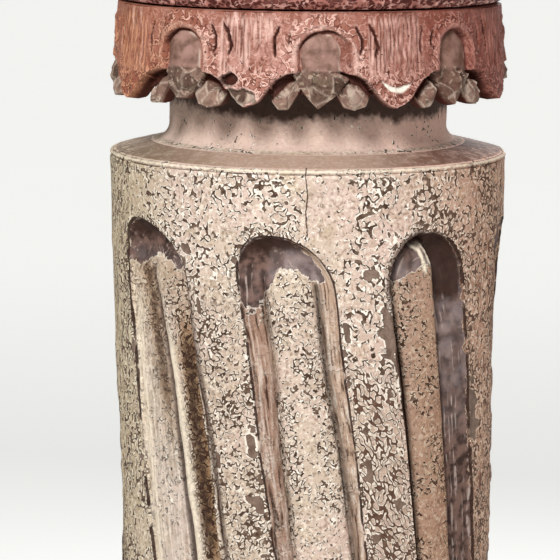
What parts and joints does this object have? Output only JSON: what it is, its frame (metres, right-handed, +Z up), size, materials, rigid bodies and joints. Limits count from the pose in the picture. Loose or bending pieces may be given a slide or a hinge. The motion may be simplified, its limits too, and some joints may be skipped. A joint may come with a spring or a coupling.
{
  "type": "carved wooden column",
  "caption": "Painted wooden column with spiral reeded flutes, a neck under a collar of hanging carved leaves, a roll and bell capital, square abacus, turned base and plinth.",
  "frame": {"origin": "on the ground under the middle of the plinth", "axes": "+Z up along the column's axis, -Y to the front, +X to the right seen from the front"},
  "size_m": [0.33, 0.33, 1.525],
  "materials": {
    "cream_paint": "flaking matte paint",
    "salmon_paint": "worn matte paint",
    "dark_red_paint": "coarse worn paint"
  },
  "bodies": {
    "root": {"plinth": "cream_paint", "base": "dark_red_paint", "shaft": "cream_paint", "leaf_collar": "salmon_paint", "capital": "dark_red_paint", "abacus": "cream_paint"}
  },
  "joints": []
}
